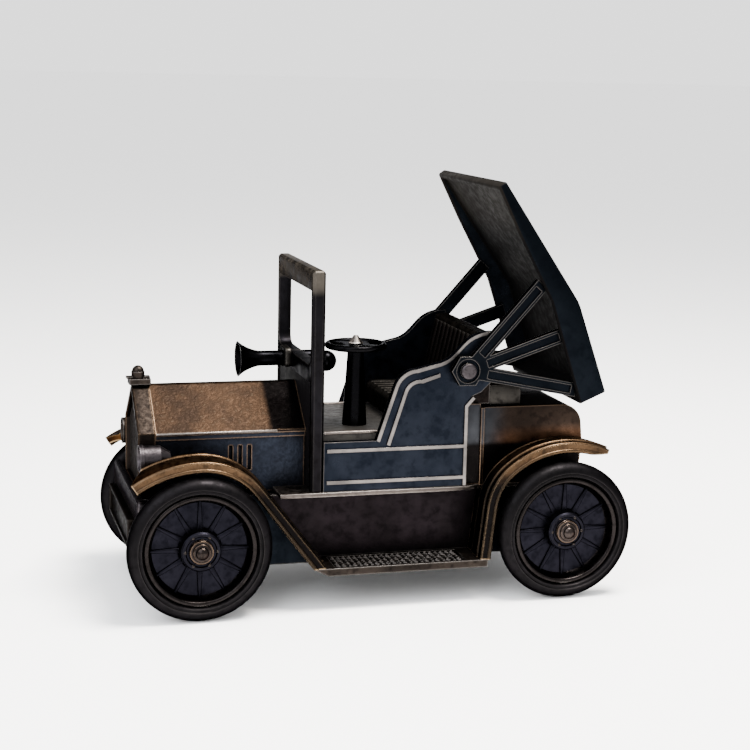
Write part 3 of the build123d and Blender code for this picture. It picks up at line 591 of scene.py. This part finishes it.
# %% A turned piece
def turned(name, outline, place, turn, steps):
    """Extrude a ring through (height, radius) points in mm, turn it and put it in place."""
    height, radius = outline[0]
    bpy.ops.object.select_all(action="DESELECT")
    bpy.ops.mesh.primitive_circle_add(vertices=steps, radius=radius * MM,
                                      location=(0, 0, height * MM))
    piece = bpy.context.object
    piece.name = name
    place_in_mesh(piece)
    bpy.ops.object.mode_set(mode="EDIT")
    bpy.ops.mesh.select_all(action="SELECT")
    for next_height, next_radius in outline[1:]:
        bpy.ops.mesh.extrude_region_move(
            TRANSFORM_OT_translate={"value": (0, 0, (next_height - height) * MM)})
        scale = next_radius / radius
        bpy.ops.transform.resize(value=(scale, scale, 1),
                                 center_override=(0, 0, next_height * MM))
        height, radius = next_height, next_radius
    bpy.ops.mesh.select_all(action="SELECT")
    bpy.ops.mesh.remove_doubles(threshold=0.004 * MM)
    bpy.ops.mesh.normals_make_consistent(inside=False)
    bpy.ops.object.mode_set(mode="OBJECT")
    piece.rotation_euler = turn
    piece.location = Vector(place) * MM
    place_in_mesh(piece)
    bpy.ops.object.shade_smooth_by_angle(angle=math.radians(38))
    return piece


# %% Arcs for outlines
def arc(centre_height, centre_radius, size, start, end, count):
    """Points of an arc in a (height, radius) outline, angles in degrees from the height axis."""
    angles = [math.radians(start + (end - start) * i / count) for i in range(count + 1)]
    return [(centre_height + size * math.cos(a), centre_radius + size * math.sin(a))
            for a in angles]


# %% Sizes read from the frame
tyre_low, tyre_high = (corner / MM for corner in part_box("tyre_front_left"))
wheel_low, wheel_high = (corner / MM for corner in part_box("wheel_front_left"))
cap_low, cap_high = (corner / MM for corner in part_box("hub_cap_front_left"))
wheel_radius = (tyre_high.z - tyre_low.z) / 2
tyre_face = -tyre_low.y
tyre_back = -tyre_high.y
cap_tip = -cap_low.y
hub_face = -cap_high.y
rim_radius = (wheel_high.z - wheel_low.z) / 2
axle_height = (tyre_low.z + tyre_high.z) / 2
axle_place = {"front": (tyre_low.x + tyre_high.x) / 2,
              "rear": sum(corner.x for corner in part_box("tyre_rear_left")) / 2 / MM}
print("wheel radius", round(wheel_radius, 2), "axles at", axle_place)

# %% Tyre
outwards_left = (quarter, 0, 0)
front_hub = (axle_place["front"], 0, axle_height)
shoulder = 1.75
line_outside = 1.45  # the ring line on the sidewall, measured in from the tread
line_inside = 1.75
tyre_outline = [(tyre_back + 0.15, rim_radius), (tyre_back, rim_radius + 0.5)]
tyre_outline += arc(tyre_back + shoulder, wheel_radius - shoulder, shoulder, 170, 95, 7)
tyre_outline += arc(tyre_face - shoulder, wheel_radius - shoulder, shoulder, 85, 22, 6)
tyre_outline += [(tyre_face, wheel_radius - line_outside), (tyre_face, wheel_radius - 1.62),
                 (tyre_face - 0.22, wheel_radius - line_inside),
                 (tyre_face - 0.2, rim_radius + 0.28), (tyre_face - 0.55, rim_radius + 0.02),
                 (tyre_back + 0.15, rim_radius + 0.02), (tyre_back + 0.15, rim_radius)]
tyre = turned("tyre_front_left_cast", tyre_outline, front_hub, outwards_left, 128)
print("tyre faces", len(tyre.data.polygons))

# %% Rim, web and hub
web_radius = 7.65
web_face = 17.0
hub_radius = 3.1
lip = 0.45
rim_outline = [(tyre_back + 0.3, 1.0), (tyre_back + 0.3, rim_radius), (hub_face - 0.5, rim_radius)]
rim_outline += arc(hub_face - 0.55, rim_radius - lip, lip, 80, -60, 8)
rim_outline += [(hub_face - 1.1, web_radius + 0.05), (web_face + 0.25, web_radius - 0.05),
                (web_face, web_radius - 0.3)]
rim = turned("rim_front_left", rim_outline, front_hub, outwards_left, 128)
hub_outline = [(web_face - 0.9, web_radius), (web_face, web_radius - 0.05),
               (web_face, hub_radius + 0.35), (web_face + 0.35, hub_radius + 0.1),
               (hub_face - 0.25, hub_radius), (hub_face, hub_radius - 0.25),
               (hub_face, hub_radius - 0.6), (hub_face - 0.25, hub_radius - 0.8),
               (hub_face - 0.25, 0.002)]
hub = turned("hub_front_left", hub_outline, front_hub, outwards_left, 96)
print("rim", len(rim.data.polygons), "hub", len(hub.data.polygons))

# %% [markdown]
# ## Spokes and bolts
# The spokes are raised ribs cast on the web, and six rivet heads sit around the cap. Both repeat
# around the axle, so one is modelled flat at the origin and spun into a full ring, and the ring
# is then laid on its side at the hub.


# %% A ring of equal shapes
def ring_of(piece, count, place, smooth):
    """Spin the piece's shape around the axle count times and lay the ring at a place in mm."""
    bpy.ops.object.mode_set(mode="EDIT")
    bpy.ops.mesh.select_all(action="SELECT")
    bpy.ops.mesh.spin(steps=count, dupli=True, angle=2 * math.pi, center=(0, 0, 0), axis=(0, 0, 1))
    bpy.ops.mesh.select_all(action="SELECT")
    bpy.ops.mesh.remove_doubles(threshold=0.001 * MM)
    bpy.ops.object.mode_set(mode="OBJECT")
    piece.rotation_euler = outwards_left
    piece.location = Vector(place) * MM
    place_in_mesh(piece)
    bpy.ops.object.shade_smooth_by_angle(angle=math.radians(smooth))


# %% Spokes
spoke_count = 12
spoke_width, spoke_thickness = 0.9, 0.78
spoke_taper = 0.55
spoke_length = web_radius - hub_radius + 0.3
bpy.ops.object.select_all(action="DESELECT")
bpy.ops.mesh.primitive_cube_add(size=MM, location=(0, 0, 0))
spokes = bpy.context.object
spokes.name = "spokes_front_left"
spokes.scale = (spoke_length, spoke_width, spoke_thickness)
spokes.location = Vector(((web_radius + hub_radius) / 2, 0, 0)) * MM
place_in_mesh(spokes)
bpy.ops.object.mode_set(mode="EDIT")
bpy.ops.mesh.select_all(action="DESELECT")
bpy.ops.object.mode_set(mode="OBJECT")
for face in spokes.data.polygons:
    face.select = face.normal.x > 0.9
bpy.ops.object.mode_set(mode="EDIT")
bpy.ops.transform.resize(value=(1, spoke_taper, 1))
bpy.ops.mesh.select_all(action="SELECT")
bpy.ops.mesh.bevel(offset=0.22 * MM, segments=2, affect="EDGES")
bpy.ops.object.mode_set(mode="OBJECT")
ring_of(spokes, spoke_count, (axle_place["front"], -web_face, axle_height), 50)
print("spokes", len(spokes.data.polygons), "faces")

# %% Hub cap and hub bolts
cap_steps = [(-0.3, 0.9), (-0.3, 1.95), (0.0, 1.95), (0.12, 1.85), (0.3, 1.8), (0.35, 1.45),
             (0.6, 1.4), (0.7, 1.3), (0.75, 1.0), (1.0, 0.95), (1.15, 0.85), (1.3, 0.62)]
cap_outline = [(hub_face + height, radius) for height, radius in cap_steps]
cap_outline += [(cap_tip - 0.05, 0.4), (cap_tip, 0.2), (cap_tip, 0.002)]
cap = turned("cap_front_left", cap_outline, front_hub, outwards_left, 64)
bolt_count, bolt_radius, bolt_circle = 6, 0.34, 2.5
bpy.ops.object.select_all(action="DESELECT")
bpy.ops.mesh.primitive_uv_sphere_add(segments=12, ring_count=8, radius=bolt_radius * MM,
                                     location=(bolt_circle * MM, 0, 0))
bolts = bpy.context.object
bolts.name = "bolts_front_left"
place_in_mesh(bolts)
ring_of(bolts, bolt_count, (axle_place["front"], -hub_face + 0.25, axle_height), 60)
print("cap and", bolt_count, "bolts made")


# %% Four wheels from one
def wheel_copy(piece, place, side):
    """Copy a left front wheel piece to an axle and a side, with a mesh of its own."""
    name = piece.name.replace("front_left", f"{place}_{side}")
    copy = bpy.data.objects.new(name, piece.data.copy())
    bpy.context.scene.collection.objects.link(copy)
    copy.location = ((axle_place[place] - axle_place["front"]) * MM, 0, 0)
    copy.scale = (1, 1 if side == "left" else -1, 1)
    place_in_mesh(copy)
    if side == "right":
        bpy.ops.object.mode_set(mode="EDIT")
        bpy.ops.mesh.select_all(action="SELECT")
        bpy.ops.mesh.normals_make_consistent(inside=False)
        bpy.ops.object.mode_set(mode="OBJECT")
    return copy


wheel_pieces = [(tyre, "tyre_black", "tyre"), (rim, "rim_bronze", "wheel"),
                (hub, "web_navy", "wheel"), (spokes, "web_navy", "wheel"),
                (cap, "hub_bronze", "hub_cap"), (bolts, "rim_bronze", "hub_cap")]
for piece, finish, kind in wheel_pieces:
    for place in ("front", "rear"):
        for side in ("left", "right"):
            first = (place, side) == ("front", "left")
            this = piece if first else wheel_copy(piece, place, side)
            dress(this, finishes[finish], f"{kind}_{place}_{side}")
print("wheels dressed:", len(wheel_pieces) * 4, "pieces")
